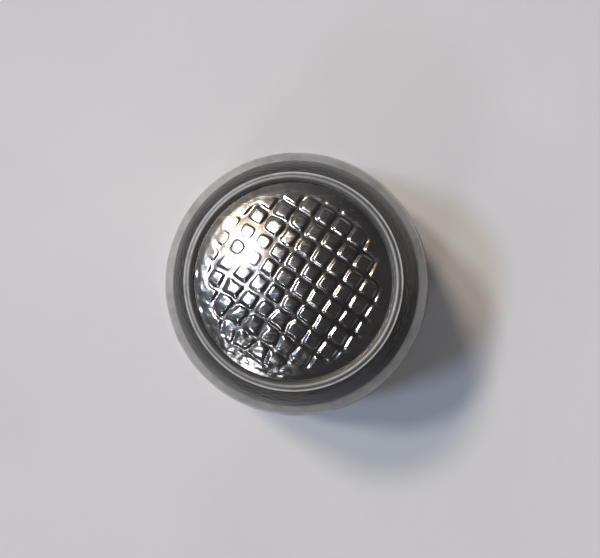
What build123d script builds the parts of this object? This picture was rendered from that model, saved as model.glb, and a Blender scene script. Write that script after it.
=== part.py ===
from build123d import *
import math
import os

# Closed-top sewing thimble. Millimetres, +Z up. The origin is on the axis, in the
# plane that the rim stands on: the closed end is up and the finger goes in from below.

# Driving dimensions
TOTAL_HEIGHT = 22.0        # rim plane to the highest point of the cap
RIM_RADIUS = 9.5           # outside of the foot ring
WALL_FOOT_RADIUS = 8.72    # outside of the wall, inside the foot ring
WALL_TOP_RADIUS = 6.70     # outside of the wall, under the bezel
SHEET = 0.50               # thickness of the wall's sheet metal
WALL_BULGE = 0.45          # how far the wall stands out from a straight cone
DOME_RADIUS = 22.0         # sphere that the cap's top follows

# Foot ring: wraps the wall's raw edge from outside and from below
RIM_ROUND = 0.38           # radius of its outer edge
RIM_SLOPE = 35.0           # slope of its upper face, in degrees
LEDGE_HEIGHT = 0.35        # thickness of metal under the wall's edge
MOUTH_LAND = 1.30          # height up to which the mouth is cylindrical
RIM_LIP_FILLET = 0.12

# Crown: a brimmed cap on the wall's inturned seat, clasped by the bezel
SEAT_HEIGHT = 20.74
SEAT_HOLE_RADIUS = 5.30
BRIM_THICKNESS = 0.242
BRIM_RADIUS = 6.50
CAP_THICKNESS = 0.50
DOME_EDGE_RADIUS = 5.75    # where the dome turns into the shoulder
SHOULDER_RADIUS = 1.80
SHOULDER_TURN = 22.0       # steepest slope of the shoulder, in degrees
SHOULDER_END = 6.295       # the shoulder stops here, against the bezel
BEZEL_RADIUS = 6.61        # middle of the bezel's round section
BEZEL_SECTION = 0.31       # radius of that section
BEZEL_LIFT = 0.28          # height of its middle above the seat


def turned(outline):
    """The solid that a closed outline of (radius, height) edges sweeps round the axis."""
    return revolve(Plane.XZ * make_face(outline), Axis.Z)


def box_face(r_low, r_high, z_low, z_high):
    """A rectangle in the radius and height plane."""
    middle = ((r_low + r_high) / 2, (z_low + z_high) / 2)
    return Pos(*middle) * Rectangle(r_high - r_low, z_high - z_low)


def wall_arc(inset, top):
    """The wall's gently bowed line, `inset` inside its outer face, up to height `top`."""
    foot = (WALL_FOOT_RADIUS - inset, MOUTH_LAND)
    head = (WALL_TOP_RADIUS - inset, top)
    middle = ((foot[0] + head[0]) / 2 + WALL_BULGE, (foot[1] + head[1]) / 2)
    return ThreePointArc(foot, middle, head)


def side_wall():
    """Tapered tube, cylindrical at the mouth, its top edge turned in as the cap's seat."""
    ceiling = SEAT_HEIGHT - SHEET
    mouth_radius = WALL_FOOT_RADIUS - SHEET
    outer = wall_arc(0.0, SEAT_HEIGHT)
    inner = wall_arc(SHEET, ceiling)
    foot = Polyline(inner @ 0, (mouth_radius, LEDGE_HEIGHT),
                    (WALL_FOOT_RADIUS, LEDGE_HEIGHT), outer @ 0)
    seat = Polyline(outer @ 1, (SEAT_HOLE_RADIUS, SEAT_HEIGHT),
                    (SEAT_HOLE_RADIUS, ceiling), inner @ 1)
    return turned(outer + inner + foot + seat)


def rim_ring():
    """Sloped, round-edged ring with a ledge for the wall and a flat underside."""
    mouth_radius = WALL_FOOT_RADIUS - SHEET
    middle = RIM_RADIUS - RIM_ROUND
    slope = math.radians(RIM_SLOPE)
    edge = (middle + RIM_ROUND * math.sin(slope), RIM_ROUND * (1 + math.cos(slope)))
    top = edge[1] + (edge[0] - WALL_FOOT_RADIUS) * math.tan(slope)
    body = make_face(Polyline((mouth_radius, 0), (middle, 0), (middle, RIM_ROUND), edge,
                              (WALL_FOOT_RADIUS, top), (WALL_FOOT_RADIUS, LEDGE_HEIGHT),
                              (mouth_radius, LEDGE_HEIGHT), close=True))
    body += Pos(middle, RIM_ROUND) * Circle(RIM_ROUND)
    lip = body.vertices().filter_by(lambda v: v.X < mouth_radius + 0.01 and v.Y < 0.01)
    return revolve(Plane.XZ * fillet(lip, RIM_LIP_FILLET), Axis.Z)


def cap():
    """Domed cap: sphere, gentle shoulder up to the bezel, and a flat brim under it."""
    dome_centre = TOTAL_HEIGHT - DOME_RADIUS
    slope = math.asin(DOME_EDGE_RADIUS / DOME_RADIUS)
    steep = math.radians(SHOULDER_TURN)
    brim_top = SEAT_HEIGHT + BRIM_THICKNESS

    def on_sphere(radius, angle):
        return (radius * math.sin(angle), dome_centre + radius * math.cos(angle))

    def on_shoulder(angle):
        centre = on_sphere(DOME_RADIUS - SHOULDER_RADIUS, slope)
        return (centre[0] + SHOULDER_RADIUS * math.sin(angle),
                centre[1] + SHOULDER_RADIUS * math.cos(angle))

    shoulder_end = on_shoulder(steep)
    shoulder_foot = shoulder_end[1] - (SHOULDER_END - shoulder_end[0]) * math.tan(steep)
    under = DOME_RADIUS - CAP_THICKNESS
    under_slope = math.asin(SEAT_HOLE_RADIUS / under)
    outline = [
        ThreePointArc(on_sphere(DOME_RADIUS, 0), on_sphere(DOME_RADIUS, slope / 2),
                      on_sphere(DOME_RADIUS, slope)),
        ThreePointArc(on_shoulder(slope), on_shoulder((slope + steep) / 2), shoulder_end),
        Polyline(shoulder_end, (SHOULDER_END, shoulder_foot), (SHOULDER_END, brim_top),
                 (BRIM_RADIUS, brim_top), (BRIM_RADIUS, SEAT_HEIGHT),
                 (SEAT_HOLE_RADIUS, SEAT_HEIGHT), on_sphere(under, under_slope)),
        ThreePointArc(on_sphere(under, under_slope), on_sphere(under, under_slope / 2),
                      on_sphere(under, 0)),
        Line(on_sphere(under, 0), on_sphere(DOME_RADIUS, 0)),
    ]
    return turned(Curve() + outline)


def bezel():
    """Round-topped ring that clasps the cap's brim against the seat."""
    section = Pos(BEZEL_RADIUS, SEAT_HEIGHT + BEZEL_LIFT) * Circle(BEZEL_SECTION)
    section -= box_face(0, 2 * BEZEL_RADIUS, 0, SEAT_HEIGHT)
    section -= box_face(0, BRIM_RADIUS, 0, SEAT_HEIGHT + BRIM_THICKNESS)
    return revolve(Plane.XZ * section, Axis.Z)


NODES = {"side_wall": side_wall, "rim_ring": rim_ring, "cap": cap, "bezel": bezel}

os.makedirs("parts", exist_ok=True)
for name, build in NODES.items():
    export_step(build(), f"parts/{name}.step")
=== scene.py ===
import math

import bpy
import numpy as np
from mathutils import Matrix, Vector, noise
from mathutils.geometry import delaunay_2d_cdt

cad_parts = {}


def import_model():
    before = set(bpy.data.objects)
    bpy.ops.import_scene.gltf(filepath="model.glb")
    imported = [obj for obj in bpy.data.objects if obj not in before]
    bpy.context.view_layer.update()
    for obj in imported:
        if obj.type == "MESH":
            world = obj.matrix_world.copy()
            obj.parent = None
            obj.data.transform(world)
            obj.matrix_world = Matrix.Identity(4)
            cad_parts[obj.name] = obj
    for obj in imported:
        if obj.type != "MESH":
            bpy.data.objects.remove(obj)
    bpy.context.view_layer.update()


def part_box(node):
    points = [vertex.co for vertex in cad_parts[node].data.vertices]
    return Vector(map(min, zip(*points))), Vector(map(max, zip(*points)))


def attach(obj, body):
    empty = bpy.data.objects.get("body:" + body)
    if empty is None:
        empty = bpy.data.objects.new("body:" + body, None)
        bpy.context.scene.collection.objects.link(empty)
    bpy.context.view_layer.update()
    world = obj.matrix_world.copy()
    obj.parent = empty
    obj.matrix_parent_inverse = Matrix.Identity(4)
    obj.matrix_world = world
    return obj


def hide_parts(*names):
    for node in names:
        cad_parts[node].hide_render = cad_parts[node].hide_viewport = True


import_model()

# Lengths in this script are millimetres, as in the CAD model; MM turns them into metres.
MM = 0.001
SEED = 7
BODY = "root"

# Segments round the axis
CAP_SEGMENTS = 420
RING_SEGMENTS = 480


def node_size(node):
    """Outer radius, lowest height and highest height of a CAD node, in millimetres."""
    low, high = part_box(node)
    return high.x / MM, low.z / MM, high.z / MM


FOOT_RADIUS, WALL_BOTTOM, SEAT_HEIGHT = node_size("side_wall")
RIM_RADIUS, _, RIM_HEIGHT = node_size("rim_ring")
BRIM_RADIUS, _, APEX = node_size("cap")
BEZEL_OUTER, _, BEZEL_TOP = node_size("bezel")

# The wall: the same bowed taper as the CAD node
SHEET = 0.50
WALL_TOP_RADIUS = 6.70
WALL_BULGE = 0.45
MOUTH_LAND = 1.30
MOUTH_LIP = 0.12
RIM_ROUND = 0.38
RIM_SLOPE = math.radians(35)
SEAT_HOLE_RADIUS = 5.30

# The cap's smooth outline
DOME_RADIUS = 22.0
CAP_THICKNESS = 0.50
BRIM_THICKNESS = 0.242
DOME_EDGE = 5.75
SHOULDER_RADIUS = 1.80
SHOULDER_TURN = math.radians(22)
SHOULDER_END = 6.295
SHOULDER_POINTS = 14   # rings along the shoulder's curve
SHOULDER_RINGS = 25    # and in all, from the field to the bezel
JOINING_WIDTH = 0.04   # width kept free for the joining faces
BEZEL_LIFT = 0.28

# The cross-grooved field of small square studs on the dome
STUD_PITCH = (1.194, 1.165)
STUD_TURN = math.radians(-33.3)
STUD_ORIGIN = (0.664, -1.263)
STUD_TOP = 0.31        # half width of a stud's flat top
STUD_FOOT = 0.57       # half width where its sides reach the groove
STUD_CROWN = 0.010     # how far its top rounds off
STUD_SPREAD = 0.014    # how much the half widths vary
GROOVE_DEPTH = 0.086
FIELD_CENTRE = (0.02, -0.06)
FIELD_FADE = (5.10, 5.65)     # the relief fades out between these distances from that
FIELD_LIMIT = (5.50, 5.69)    # and between these distances from the axis

# Wear of the cap; places are (x, y), angles are in degrees, counter-clockwise from +X
RUBBED = (-3.1, 2.3)
RUBBED_FADE = (0.8, 2.4)
BATTERED = (0.1, 3.4)
BATTERED_FADE = (0.6, 2.4)
BURRS = (175, 198)
BURR_RADIUS = 6.18
BURR_HEIGHT = 0.028
FLAT_SIDE = 243

# How deep the knocks are
BEZEL_KNOCK = 0.02
RIM_KNOCK = 0.004      # as a share of the rim's radius
WALL_KNOCK = 0.012

# Dimples of the wall
DIMPLES_ROUND = 38
DIMPLE_ROWS = 12
FIRST_ROW = 4.9
ROW_PITCH = 1.15
DIMPLE_RADIUS = 0.40
DIMPLE_DEPTH = 0.048
SEGMENTS_PER_DIMPLE = 12
RINGS_PER_ROW = 11


def smooth(x, start, end):
    """Smoothstep from 0 at start to 1 at end."""
    t = np.clip((x - start) / (end - start), 0, 1)
    return t * t * (3 - 2 * t)


def wobble(points, wave, seed):
    """Smooth noise from -1 to 1 at each point; one wave is about `wave` millimetres.

    Each use has a seed of its own, so that no two patterns line up.
    """
    shift = Vector((seed * 17.3, seed * 5.1, seed * 2.7))
    flat = np.asarray(points, float).reshape(-1, 3)
    values = [noise.noise(Vector(p) / wave + shift) for p in flat]
    return np.array(values).reshape(np.asarray(points).shape[:-1])


def arc(centre, radius, start, end, count):
    """Points of a circular arc; angles in radians from +Z towards +R."""
    angle = np.linspace(start, end, count)
    return np.column_stack([centre[0] + radius * np.sin(angle), centre[1] + radius * np.cos(angle)])


def line(start, end, count):
    """Points of a straight run."""
    t = np.linspace(0, 1, count)[:, None]
    return np.array(start) * (1 - t) + np.array(end) * t


def joined(*runs):
    """One outline from several runs, with the doubled points where they meet left out."""
    points = [runs[0][0]]
    for run in runs:
        points += [p for p in run if np.hypot(*(p - points[-1])) > 1e-6]
    return np.array(points)


def spun(outline, segments):
    """Grid of points (ring, segment, xyz) that an outline of (radius, height) sweeps."""
    angle = np.linspace(0, 2 * math.pi, segments, endpoint=False)
    r, z = outline[:, 0, None], outline[:, 1, None]
    return np.stack([r * np.cos(angle), r * np.sin(angle), z + 0 * angle], axis=-1)


def quads(rings, segments, first=0, closed=False):
    """Faces of a spun grid whose first point has index `first`."""
    faces = []
    for i in range(rings if closed else rings - 1):
        a, b = first + i * segments, first + (i + 1) % rings * segments
        for j in range(segments):
            k = (j + 1) % segments
            faces.append((a + j, a + k, b + k, b + j))
    return faces


def new_piece(name, points, faces, material, node):
    """A smooth-shaded piece that rides on the body and stands for one CAD node."""
    mesh = bpy.data.meshes.new(name)
    mesh.from_pydata((np.asarray(points).reshape(-1, 3) * MM).tolist(), [], faces)
    mesh.update()
    mesh.shade_smooth()
    piece = bpy.data.objects.new(name, mesh)
    bpy.context.scene.collection.objects.link(piece)
    mesh.materials.append(material)
    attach(piece, BODY)
    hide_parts(node)
    return piece


def add_value(piece, name, values):
    """Stores one number per vertex for the material to read."""
    layer = piece.data.attributes.new(name, "FLOAT", "POINT")
    layer.data.foreach_set("value", np.asarray(values, np.float32).ravel())


# ---------------------------------------------------------------- materials


def add(tree, kind, inputs, **settings):
    """Adds a shader node; each input is a number, a colour or another node's output."""
    made = tree.nodes.new(kind)
    for key, value in settings.items():
        setattr(made, key, value)
    for key, value in inputs.items():
        if isinstance(value, bpy.types.NodeSocket):
            tree.links.new(value, made.inputs[key])
        else:
            made.inputs[key].default_value = value
    return made.outputs[0]


def maths(tree, operation, *values):
    """Adds a Math node."""
    return add(tree, "ShaderNodeMath", dict(enumerate(values)), operation=operation)


def grain(tree, place, scale, detail=2.0):
    """Noise around 0.5 with `scale` waves in a unit of `place`."""
    return add(tree, "ShaderNodeTexNoise", {"Vector": place, "Scale": scale, "Detail": detail})


def step_up(tree, value, low, high, to_low=0.0, to_high=1.0):
    """Maps low..high to to_low..to_high, level outside."""
    inputs = {"Value": value, "From Min": low, "From Max": high, "To Min": to_low, "To Max": to_high}
    return add(tree, "ShaderNodeMapRange", inputs)


def millimetres(tree):
    """The point on the object, in millimetres."""
    source = tree.nodes.new("ShaderNodeTexCoord").outputs["Object"]
    return add(tree, "ShaderNodeVectorMath", {0: source, "Scale": 1 / MM}, operation="SCALE")


def stored(tree, name):
    """The numbers that add_value stored on the piece."""
    made = tree.nodes.new("ShaderNodeAttribute")
    made.attribute_name = name
    return made.outputs["Fac"]


def round_place(tree, place, along, across):
    """Coordinates that stretch noise into streaks round the axis."""
    split = tree.nodes.new("ShaderNodeSeparateXYZ")
    tree.links.new(place, split.inputs[0])
    x, y, z = split.outputs
    radius = maths(tree, "SQRT", maths(tree, "ADD", maths(tree, "MULTIPLY", x, x),
                                       maths(tree, "MULTIPLY", y, y)))
    lifted = maths(tree, "MULTIPLY", maths(tree, "ADD", radius, z), across)
    turn = [maths(tree, "MULTIPLY", maths(tree, "DIVIDE", side, radius), along) for side in (x, y)]
    return add(tree, "ShaderNodeCombineXYZ", {"X": turn[0], "Y": turn[1], "Z": lifted})


def scratches(tree, place, turn, waves, share):
    """Thin straight scratches in one direction: 1 on a scratch and 0 beside it."""
    laid = add(tree, "ShaderNodeMapping", {"Vector": place, "Rotation": (0.0, 0.0, turn),
                                           "Scale": (0.12 * waves, waves, 0.3 * waves)})
    lines = grain(tree, laid, 1.0, 1.0)
    return step_up(tree, lines, 1 - share, 1.06 - share)


def crossed_scratches(tree, place):
    """Four families of thin scratches, each in its own direction."""
    marks = scratches(tree, place, 0.5, 5.0, 0.34)
    for turn, waves in ((1.75, 6.5), (2.7, 4.2), (-0.35, 8.0)):
        marks = maths(tree, "MAXIMUM", marks, scratches(tree, place, turn, waves, 0.33))
    return marks


def stains_and_shade(tree, place, grime_and_shade):
    """How dark the metal's colour is made, from 0 to 1: painted shade (with grime on the cap) where
    the stored values say, and cloudy staining.
    """
    cloud = step_up(tree, grain(tree, place, 0.7, 4.0), 0.50, 0.72, 0.0, 0.5)
    speckle = step_up(tree, grain(tree, place, 5.0, 3.0), 0.30, 0.62, 0.70, 1.0)
    amount = maths(tree, "MULTIPLY_ADD", grime_and_shade, 0.75, cloud)
    return step_up(tree, maths(tree, "MULTIPLY", amount, speckle), 0.0, 1.0)


def blend(tree, factor, first, second):
    """Mixes two colours."""
    made = tree.nodes.new("ShaderNodeMix")
    made.data_type = "RGBA"
    for socket, value in (("Factor_Float", factor), ("A_Color", first), ("B_Color", second)):
        target = next(s for s in made.inputs if s.identifier == socket)
        if isinstance(value, bpy.types.NodeSocket):
            tree.links.new(value, target)
        else:
            target.default_value = value
    return next(s for s in made.outputs if s.identifier == "Result_Color")


def metal(name, clean, stain_shade_colour, rough_range, edge, grain_height, dull=0.05, streaks=None):
    """Plated metal: its colour darkened by painted shade (with some grime on the cap) and cloudy
    staining; wear, crossed scratches and an uneven polish.

    Under 1, `edge` darkens it at grazing angles. `grain_height` is the bump's height in
    millimetres, `dull` is how much rougher it is where its colour is darkened, and `streaks` is
    (along, across) where the metal is brushed round the axis.
    """
    material = bpy.data.materials.new(name)
    material.use_nodes = True
    tree = material.node_tree
    shader = tree.nodes["Principled BSDF"]
    shader.inputs["Metallic"].default_value = 1.0
    shader.inputs["Specular Tint"].default_value = (edge, edge, edge, 1)
    place = millimetres(tree)
    # painted shade (with grime on the cap) and cloudy staining darken the base colour
    stain_and_shade = stains_and_shade(tree, place, stored(tree, "grime_and_shade"))
    tree.links.new(blend(tree, stain_and_shade, (*clean, 1), (*stain_shade_colour, 1)), shader.inputs["Base Color"])
    marks = crossed_scratches(tree, place)
    polish = step_up(tree, grain(tree, place, 1.6, 3.0), 0.35, 0.70, *rough_range)
    rough = maths(tree, "MULTIPLY_ADD", marks, 0.06, polish)
    rough = maths(tree, "MULTIPLY_ADD", stain_and_shade, dull, rough)
    height = maths(tree, "MULTIPLY_ADD", marks, -0.35, grain(tree, place, 2.4, 3.0))
    if streaks:
        brushed = grain(tree, round_place(tree, place, *streaks), 1.0, 4.0)
        rough = maths(tree, "MULTIPLY_ADD", step_up(tree, brushed, 0.35, 0.65), 0.12, rough)
        height = maths(tree, "MULTIPLY_ADD", brushed, 0.8, height)
    rough = maths(tree, "MULTIPLY_ADD", stored(tree, "rubbed"), 0.13, rough)
    tree.links.new(rough, shader.inputs["Roughness"])
    bump = add(tree, "ShaderNodeBump", {"Height": height, "Distance": grain_height * MM})
    tree.links.new(bump, shader.inputs["Normal"])
    return material


# ---------------------------------------------------------------- cap


def stud_axes():
    """Directions of the two groove families, each one pitch long."""
    c, s = math.cos(STUD_TURN), math.sin(STUD_TURN)
    return np.array([c, s]) * STUD_PITCH[0], np.array([-s, c]) * STUD_PITCH[1]


def to_lattice(x, y):
    """Lattice coordinates, in pitches; the studs' middles are at halves."""
    a, b = stud_axes()
    inverse = np.linalg.inv(np.array([a, b]).T)
    dx, dy = x - STUD_ORIGIN[0], y - STUD_ORIGIN[1]
    return inverse[0, 0] * dx + inverse[0, 1] * dy, inverse[1, 0] * dx + inverse[1, 1] * dy


def from_lattice(u, v):
    """The point at lattice coordinates u and v."""
    a, b = stud_axes()
    return STUD_ORIGIN[0] + u * a[0] + v * b[0], STUD_ORIGIN[1] + u * a[1] + v * b[1]


def lattice_lines():
    """Grid lines of the field in pitches, closer together on the studs' slopes."""
    pitch = sum(STUD_PITCH) / 2
    flat = np.linspace(0, STUD_TOP - 0.02, 4)
    slope = np.linspace(STUD_TOP - 0.02, STUD_FOOT, 10)
    half = np.unique(np.concatenate([flat, slope])) / pitch
    steps = np.unique(np.concatenate([0.5 + half, 0.5 - half, [0.0]]))
    return (np.arange(-8, 9)[:, None] + steps).ravel()


def on_plan(x, y):
    """Points at height 0, where the noise of the cap is read."""
    return np.stack([x, y, 0 * x], axis=-1)


def patch(x, y, middle, fade):
    """1 near the middle of a patch, falling to 0 over the two distances of `fade`."""
    return 1 - smooth(np.hypot(x - middle[0], y - middle[1]), *fade)


def wear(x, y):
    """How battered the cap is, from 0 to 1: more at one side and here and there."""
    side = 0.08 - 0.12 * x - 0.14 * y
    cloud = 0.45 * wobble(on_plan(x, y), 2.6, 3)
    return np.clip(side + cloud + 0.75 * patch(x, y, BATTERED, BATTERED_FADE), 0, 1)


def dents(x, y):
    """Small dents of the worn places, fading out before the bezel."""
    flat = on_plan(x, y)
    height = 0.026 * wobble(flat, 0.55, 21) + 0.015 * wobble(flat, 0.27, 22)
    return height * wear(x, y) * (1 - smooth(np.hypot(x, y), 5.95, 6.25))


def around(x, y, place, spread):
    """1 at the angle `place`, fading away within about twice `spread` degrees."""
    return np.exp(-((np.degrees(np.arctan2(y, x)) % 360 - place) / spread) ** 2)


def dip(x, y):
    """The cap's smooth edge dips, then levels out before the bezel, mostly at one side."""
    radius = np.hypot(x, y)
    depth = 0.012 + 0.030 * around(x, y, FLAT_SIDE, 22)
    return -depth * smooth(radius, 4.9, 5.75) * (1 - smooth(radius, 5.9, SHOULDER_END))


def burrs(x, y):
    """Two small raised burrs at the cap's edge, beside the bezel."""
    along = sum(around(x, y, place, 3.2) for place in BURRS)
    return BURR_HEIGHT * along * np.exp(-((np.hypot(x, y) - BURR_RADIUS) / 0.11) ** 2)


def rubbed(x, y):
    """How far the studs are rubbed down, from 0 to 1, at the place that wears most."""
    return patch(x, y, RUBBED, RUBBED_FADE)


def studs(x, y):
    """Height of the relief, about 0 on a stud and negative in a groove, and a groove mask that
    darkens the colour with painted shade and grime.
    """
    flat = on_plan(x, y)
    worn = wear(x, y)
    drift = 0.040 + 0.22 * worn
    u, v = to_lattice(x + drift * wobble(flat, 0.75, 11), y + drift * wobble(flat, 0.75, 12))
    table = np.random.default_rng(SEED).normal(size=(4, 32, 32))
    column, row = np.floor(u).astype(int) + 16, np.floor(v).astype(int) + 16
    size, lift, tilt_u, tilt_v = table[:, column, row]
    from_middle = (u - np.floor(u) - 0.5, v - np.floor(v) - 0.5)
    across = np.abs(from_middle[0]) * STUD_PITCH[0] - STUD_SPREAD * size
    along = np.abs(from_middle[1]) * STUD_PITCH[1] - STUD_SPREAD * size
    # Between a circle and a square, as seen from above; a rubbed stud is rounder
    rub = rubbed(x, y)
    power = 6 - 3.4 * rub
    spread = (np.clip(across, 0, 1) ** power + np.clip(along, 0, 1) ** power) ** (1 / power)
    top = 1 - smooth(spread, STUD_TOP, STUD_FOOT - 0.15 * rub)
    rounding = STUD_CROWN * (spread / STUD_FOOT) ** 4
    slant = tilt_u * from_middle[0] + tilt_v * from_middle[1]
    crown = (0.004 + 0.011 * worn) * (lift + 2.2 * slant)
    depth = GROOVE_DEPTH * (1 - 0.15 * worn) * (1 - 0.72 * rub)
    return -depth * (1 - top) - rounding * top + top * crown, 1 - top


def dome_height(x, y):
    """Height of the smooth dome."""
    return APEX - DOME_RADIUS + np.sqrt(DOME_RADIUS ** 2 - x ** 2 - y ** 2)


def lattice_field(limit):
    """Points and quads of the grooved field that lie inside radius `limit`."""
    lines = lattice_lines()
    x, y = from_lattice(*np.meshgrid(lines, lines, indexing="ij"))
    inside = np.hypot(x, y) < limit
    whole = inside[:-1, :-1] & inside[1:, :-1] & inside[:-1, 1:] & inside[1:, 1:]
    i, j = np.nonzero(whole)
    corners = np.stack([(i, j), (i + 1, j), (i + 1, j + 1), (i, j + 1)])
    flat = np.ravel_multi_index((corners[:, 0], corners[:, 1]), inside.shape).T
    used, index = np.unique(flat, return_inverse=True)
    return x.ravel()[used], y.ravel()[used], index.reshape(flat.shape)


def border_edges(faces):
    """Edges that belong to one face only."""
    edges = np.concatenate([faces[:, [k, (k + 1) % 4]] for k in range(4)])
    ends = np.sort(edges, axis=1)
    _, first, count = np.unique(ends, axis=0, return_index=True, return_counts=True)
    return edges[first[count == 1]]


def joining_faces(x, y, faces, ring):
    """Triangles between the stepped border of the field and the ring round it."""
    lines = lattice_lines()

    def cell(px, py):
        """Column and row of the lattice that a point lies in."""
        u, v = to_lattice(px, py)
        return int(np.searchsorted(lines, u)), int(np.searchsorted(lines, v))

    taken = {cell(px, py) for px, py in zip(x[faces].mean(axis=1), y[faces].mean(axis=1))}
    border = border_edges(faces)
    names = np.unique(border)
    place = {n: i for i, n in enumerate(names)}
    back = list(names) + [len(x) + i for i in range(len(ring))]
    flat = [Vector((x[n], y[n])) for n in names] + [Vector(p[:2]) for p in ring]
    edges = [(place[a], place[b]) for a, b in border]
    edges += [(len(names) + i, len(names) + (i + 1) % len(ring)) for i in range(len(ring))]
    points, _, triangles, origin, _, _ = delaunay_2d_cdt(flat, edges, [], 0, 1e-9)
    kept = []
    for triangle in triangles:
        middle = sum((points[k] for k in triangle), Vector((0, 0))) / 3
        if cell(*middle) not in taken:
            kept.append(tuple(int(back[origin[k][0]]) for k in triangle))
    return kept


def cap_outline():
    """Outline from the field's edge over the shoulder and the brim to the underside."""
    slope = math.asin(DOME_EDGE / DOME_RADIUS)
    centre_z = APEX - DOME_RADIUS
    inner = DOME_RADIUS - SHOULDER_RADIUS
    shoulder_centre = (inner * math.sin(slope), centre_z + inner * math.cos(slope))
    shoulder = arc(shoulder_centre, SHOULDER_RADIUS, slope, SHOULDER_TURN, SHOULDER_POINTS)
    drop = (SHOULDER_END - shoulder[-1][0]) * math.tan(SHOULDER_TURN)
    foot = (SHOULDER_END, shoulder[-1][1] - drop)
    brim = (SHOULDER_END, SEAT_HEIGHT + BRIM_THICKNESS)
    under = DOME_RADIUS - CAP_THICKNESS
    under_slope = math.asin(SEAT_HOLE_RADIUS / under)
    belly = arc((0, centre_z), under, under_slope, 0.004, 24)
    corners = [(BRIM_RADIUS, brim[1]), (BRIM_RADIUS, SEAT_HEIGHT), (SEAT_HOLE_RADIUS, SEAT_HEIGHT)]
    to_bezel = line(shoulder[-1], foot, SHOULDER_RINGS - SHOULDER_POINTS + 1)
    return joined(shoulder, to_bezel, line(foot, brim, 3),
                  line(brim, corners[0], 4), line(corners[0], corners[1], 3),
                  line(corners[1], corners[2], 8), line(corners[2], belly[0], 4), belly)


def cap(material):
    """Domed cap: grooved field, a thin ring of joining faces, then the turned outline."""
    segments = CAP_SEGMENTS
    x, y, field = lattice_field(DOME_EDGE - JOINING_WIDTH)
    outline = cap_outline()
    turned = spun(outline, segments)
    upper = turned[:SHOULDER_RINGS]
    for change in (dents, dip, burrs):
        upper[..., 2] += change(upper[..., 0], upper[..., 1])
    fade = patch(x, y, FIELD_CENTRE, FIELD_FADE) * patch(x, y, (0, 0), FIELD_LIMIT)
    # the groove mask darkens the colour: painted shade, with grime, between the studs
    relief, grime_and_shade = studs(x, y)
    top = np.column_stack([x, y, dome_height(x, y) + fade * relief + dents(x, y) + dip(x, y)])
    faces = [tuple(f) for f in field.tolist()] + joining_faces(x, y, field, turned[0])
    faces += [tuple(reversed(f)) for f in quads(len(outline), segments, len(x))]
    last = len(x) + (len(outline) - 1) * segments
    faces.append(tuple(last + j for j in reversed(range(segments))))
    points = np.concatenate([top, turned.reshape(-1, 3)])
    piece = new_piece("cap_grooved", points, faces, material, "cap")
    # Painted shade in the crevice where the cap meets the bezel darkens the colour there
    crevice_shade = smooth(outline[:, 0], SHOULDER_END - 0.10, SHOULDER_END)
    add_value(piece, "grime_and_shade", np.concatenate([grime_and_shade * fade, np.repeat(crevice_shade, segments)]))
    add_value(piece, "rubbed", rubbed(points[:, 0], points[:, 1]))


# ---------------------------------------------------------------- turned pieces


def bezel(material):
    """Round ring that clasps the cap's brim."""
    section = BEZEL_TOP - SEAT_HEIGHT - BEZEL_LIFT
    middle = (BEZEL_OUTER - section, BEZEL_TOP - section)
    brim_top = SEAT_HEIGHT + BRIM_THICKNESS
    start = -math.pi / 2 - math.asin((middle[1] - brim_top) / section)
    end = math.pi / 2 + math.asin((middle[1] - SEAT_HEIGHT) / section)
    round_part = arc(middle, section, start, end, 40)
    edge = [(BRIM_RADIUS, SEAT_HEIGHT), (BRIM_RADIUS, brim_top)]
    outline = joined(round_part, line(round_part[-1], edge[0], 4), line(edge[0], edge[1], 3),
                     line(edge[1], round_part[0], 3))[:0:-1]
    points = spun(outline, RING_SEGMENTS)
    # Knocks: the round top is pressed down a little here and there
    height = smooth(points[..., 2], middle[1], BEZEL_TOP)
    points[..., 2] -= height * BEZEL_KNOCK * np.abs(wobble(points, 1.7, 31))
    faces = quads(len(outline), RING_SEGMENTS, closed=True)
    piece = new_piece("bezel_ring", points, faces, material, "bezel")
    # Painted shade: the colour is darkened strongly over the crown and inner side, which dims the
    # crown's highlight, and a little more against the cap; only the outer edge keeps the clean,
    # smoother metal
    radius = (np.hypot(points[..., 0], points[..., 1]) - middle[0]) / section
    dull = 1 - smooth(radius, 0.25, 0.75)
    joint_shade = 1 - smooth(radius, -0.95, -0.50)
    add_value(piece, "grime_and_shade", 2.0 * dull + 0.30 * joint_shade)


def rim(material):
    """Satin foot ring with a flat underside and a ledge under the wall's edge."""
    middle = (RIM_RADIUS - RIM_ROUND, RIM_ROUND)
    mouth = FOOT_RADIUS - SHEET
    ledge = WALL_BOTTOM
    edge = arc(middle, RIM_ROUND, RIM_SLOPE, math.pi, 24)
    outline = joined(
        line((FOOT_RADIUS, RIM_HEIGHT), edge[0], 12),
        edge,
        line((middle[0], 0), (mouth + MOUTH_LIP, 0), 5),
        arc((mouth + MOUTH_LIP, MOUTH_LIP), -MOUTH_LIP, 0, math.pi / 2, 6),
        line((mouth, MOUTH_LIP), (mouth, ledge), 3),
        line((mouth, ledge), (FOOT_RADIUS, ledge), 4),
        line((FOOT_RADIUS, ledge), (FOOT_RADIUS, RIM_HEIGHT), 5))[:0:-1]
    points = spun(outline, RING_SEGMENTS)
    # Knocks: the round outside is pressed in by a small share of its radius here and there
    outside = smooth(np.hypot(points[..., 0], points[..., 1]), middle[0], RIM_RADIUS)
    push = 1 - outside * RIM_KNOCK * np.abs(wobble(points, 1.9, 41))
    points[..., :2] *= push[..., None]
    faces = quads(len(outline), RING_SEGMENTS, closed=True)
    piece = new_piece("rim_satin", points, faces, material, "rim_ring")
    radius = np.hypot(points[..., 0], points[..., 1])
    # Painted shade on the rim's top, darkening its colour next to the wall's foot
    add_value(piece, "grime_and_shade", 1 - smooth(radius, FOOT_RADIUS, FOOT_RADIUS + 0.25))


# ---------------------------------------------------------------- wall


def wall_radius(z, inset, top):
    """Radius of the wall's bowed line, `inset` inside its outer face."""
    t = np.clip((z - MOUTH_LAND) / (top - MOUTH_LAND), 0, 1)
    straight = FOOT_RADIUS + (WALL_TOP_RADIUS - FOOT_RADIUS) * t
    return straight - inset + WALL_BULGE * 4 * t * (1 - t)


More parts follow.
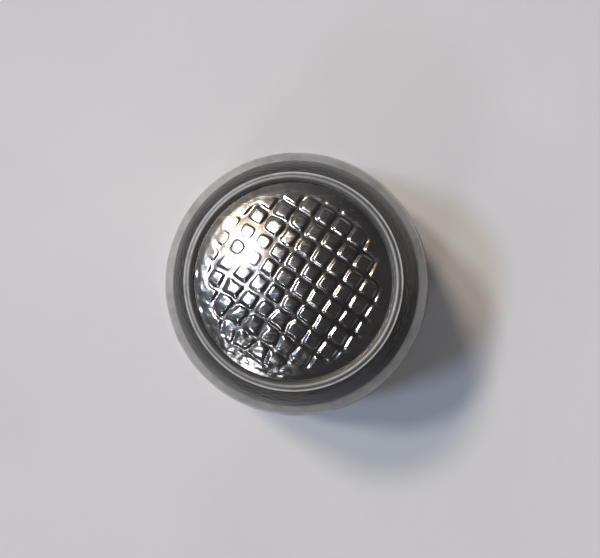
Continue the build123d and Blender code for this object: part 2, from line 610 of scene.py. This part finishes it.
def dimple_depth(angle, z):
    """Depth of the wall's dimples at an angle and height."""
    row = np.clip(np.round((z - FIRST_ROW) / ROW_PITCH), 0, DIMPLE_ROWS - 1)
    pitch = 2 * math.pi / DIMPLES_ROUND
    offset = 0.5 * (row % 2)
    column = np.round(angle / pitch - offset)
    across = (angle / pitch - offset - column) * pitch * wall_radius(z, 0, SEAT_HEIGHT)
    up = z - FIRST_ROW - row * ROW_PITCH
    table = np.random.default_rng(SEED + 1).normal(size=(2, DIMPLES_ROUND, DIMPLE_ROWS))
    size, depth = table[:, column.astype(int) % DIMPLES_ROUND, row.astype(int)]
    t = np.clip(np.hypot(across, up) / (DIMPLE_RADIUS * (1 + 0.04 * size)), 0, 1)
    bowl = (1 - t * t) * (1 - 0.6 * smooth(t, 0.75, 1.0))
    return DIMPLE_DEPTH * (1 + 0.08 * depth) * bowl


def side_wall(material):
    """Tapered shell with rows of dimples pressed into its outer face."""
    segments = DIMPLES_ROUND * SEGMENTS_PER_DIMPLE
    top_row = FIRST_ROW + (DIMPLE_ROWS - 0.4) * ROW_PITCH
    low = np.array([WALL_BOTTOM, RIM_HEIGHT, MOUTH_LAND, 1.8, 2.4, 3.1])
    zone = np.arange(FIRST_ROW - ROW_PITCH, top_row, ROW_PITCH / RINGS_PER_ROW)
    high = np.linspace(zone[-1] + 0.1, SEAT_HEIGHT, 7)
    z_out = np.concatenate([low, zone, high])
    ceiling = SEAT_HEIGHT - SHEET
    z_in = np.concatenate([np.linspace(ceiling, MOUTH_LAND, 20), [WALL_BOTTOM]])
    outer = np.column_stack([wall_radius(z_out, 0, SEAT_HEIGHT), z_out])
    inner = np.column_stack([wall_radius(z_in, SHEET, ceiling), z_in])
    seat = joined(line(outer[-1], (SEAT_HOLE_RADIUS, SEAT_HEIGHT), 6),
                  line((SEAT_HOLE_RADIUS, SEAT_HEIGHT), (SEAT_HOLE_RADIUS, ceiling), 3),
                  line((SEAT_HOLE_RADIUS, ceiling), inner[0], 5))[1:-1]
    outline = np.concatenate([outer, seat, inner])
    points = spun(outline, segments)
    angle, height = np.meshgrid(np.linspace(0, 2 * math.pi, segments, endpoint=False), z_out)
    depth = dimple_depth(angle, height)
    face = points[:len(z_out)]
    knocks = WALL_KNOCK * wobble(face, 3.1, 51) * smooth(height, RIM_HEIGHT, 3)
    knocks *= 1 - smooth(height, SEAT_HEIGHT - 1, SEAT_HEIGHT)
    radius = outer[:, 0, None] - depth + knocks
    face[..., 0] = radius * np.cos(angle)
    face[..., 1] = radius * np.sin(angle)
    faces = quads(len(outline), segments, closed=True)
    piece = new_piece("wall_dimpled", points, faces, material, "side_wall")
    # Painted shade along the foot and a little in the dimples, blotchy staining, and an even
    # darkening on the seat and the inside
    foot = 1 - smooth(height, RIM_HEIGHT, RIM_HEIGHT + 1.2)
    blotches = smooth(wobble(face, 3.6, 61), 0.10, 0.60)
    grime_and_shade = np.full(points.shape[:2], 0.5)
    grime_and_shade[:len(z_out)] = np.clip(0.22 * depth / DIMPLE_DEPTH + foot + 0.5 * blotches, 0, 1)
    add_value(piece, "grime_and_shade", grime_and_shade)


# ---------------------------------------------------------------- stage, light, camera


def floor():
    """Plain pale floor with the faint unevenness of paper."""
    size = 0.9
    mesh = bpy.data.meshes.new("floor")
    corners = [(-size, -size, 0), (size, -size, 0), (size, size, 0), (-size, size, 0)]
    mesh.from_pydata(corners, [], [(0, 1, 2, 3)])
    piece = bpy.data.objects.new("floor", mesh)
    bpy.context.scene.collection.objects.link(piece)
    material = bpy.data.materials.new("pale_floor")
    material.use_nodes = True
    tree = material.node_tree
    shader = tree.nodes["Principled BSDF"]
    shader.inputs["Roughness"].default_value = 0.75
    place = millimetres(tree)
    cloud = step_up(tree, grain(tree, place, 0.06, 3.0), 0.3, 0.7)
    colour = blend(tree, cloud, (0.76, 0.76, 0.775, 1), (0.81, 0.81, 0.82, 1))
    tree.links.new(colour, shader.inputs["Base Color"])
    height = grain(tree, place, 1.1, 5.0)
    bump = add(tree, "ShaderNodeBump", {"Height": height, "Distance": 0.03 * MM})
    tree.links.new(bump, shader.inputs["Normal"])
    mesh.materials.append(material)


def lamp(name, azimuth, zenith, power, colour, diameter, distance=2.0):
    """Soft round lamp aimed at the object, in watts and metres.

    The angles are in degrees: azimuth counter-clockwise from +X, zenith down from +Z.
    """
    data = bpy.data.lights.new(name, "AREA")
    data.shape = "DISK"
    data.size = diameter
    data.energy = power
    data.color = colour
    lamp_object = bpy.data.objects.new(name, data)
    a, t = math.radians(azimuth), math.radians(zenith)
    direction = Vector((math.sin(t) * math.cos(a), math.sin(t) * math.sin(a), math.cos(t)))
    lamp_object.location = direction * distance
    lamp_object.rotation_euler = direction.to_track_quat("Z", "Y").to_euler()
    bpy.context.scene.collection.objects.link(lamp_object)


def world():
    """Dim room, paler towards the lamps' side and just above the floor."""
    scene_world = bpy.data.worlds.new("room")
    bpy.context.scene.world = scene_world
    scene_world.use_nodes = True
    tree = scene_world.node_tree
    direction = tree.nodes.new("ShaderNodeTexCoord").outputs["Generated"]
    toward = tree.nodes.new("ShaderNodeVectorMath")
    toward.operation = "DOT_PRODUCT"
    tree.links.new(direction, toward.inputs[0])
    toward.inputs[1].default_value = (-0.75, 0.60, 0.25)
    amount = step_up(tree, toward.outputs["Value"], 0.25, 0.95)
    room = blend(tree, amount, (0.045, 0.043, 0.046, 1), (0.20, 0.20, 0.205, 1))
    split = tree.nodes.new("ShaderNodeSeparateXYZ")
    tree.links.new(direction, split.inputs[0])
    level = step_up(tree, split.outputs["Z"], 0.50, 0.15)
    side = step_up(tree, toward.outputs["Value"], -0.70, 0.95)
    low_room = blend(tree, side, (0.37, 0.37, 0.38, 1), (0.57, 0.57, 0.575, 1))
    colour = blend(tree, level, room, low_room)
    tree.links.new(colour, tree.nodes["Background"].inputs[0])


def camera():
    """Looks almost straight down on the closed end, from 160 mm."""
    height = 160.0
    eye = Vector((1.60, -1.07, height))
    aim = Vector((0.245, 0.346, RIM_HEIGHT / 2))
    forward = (aim - eye).normalized()
    right = forward.cross(Vector((0, 1, 0))).normalized()
    up = right.cross(forward)
    data = bpy.data.cameras.new("camera")
    data.lens = 132.5
    data.sensor_width = 36.0
    data.clip_start = 0.005
    camera_object = bpy.data.objects.new("camera", data)
    rotation = Matrix((right, up, -forward)).transposed()
    camera_object.matrix_world = Matrix.Translation(eye * MM) @ rotation.to_4x4()
    bpy.context.scene.collection.objects.link(camera_object)
    bpy.context.scene.camera = camera_object


camera()
world()
lamp("lamp_cool", 180, 20.6, 8.2, (0.57, 0.72, 1.0), 0.20)
lamp("lamp_white", 154, 21.6, 8.0, (1.0, 1.0, 0.97), 0.15)
lamp("lamp_warm", 133, 24.2, 11.1, (1.0, 0.82, 0.645), 0.24)
lamp("lamp_low", 240, 34, 2.1, (0.95, 0.97, 1.0), 0.30)
floor()
cap(metal("nickel_cap", (0.56, 0.545, 0.53), (0.22, 0.20, 0.18),
          rough_range=(0.14, 0.21), edge=1.0, grain_height=0.0025))
bezel(metal("nickel_bezel", (0.80, 0.79, 0.78), (0.23, 0.225, 0.22),
            rough_range=(0.34, 0.42), edge=1.0, grain_height=0.0006, dull=0.14))
side_wall(metal("nickel_wall", (0.60, 0.585, 0.57), (0.19, 0.175, 0.165),
                rough_range=(0.13, 0.21), edge=0.08, grain_height=0.004))
rim(metal("satin_rim", (0.71, 0.695, 0.68), (0.36, 0.34, 0.32),
          rough_range=(0.38, 0.50), edge=1.0, grain_height=0.006, streaks=(4.0, 10.0)))

bpy.context.scene.view_settings.view_transform = "Standard"
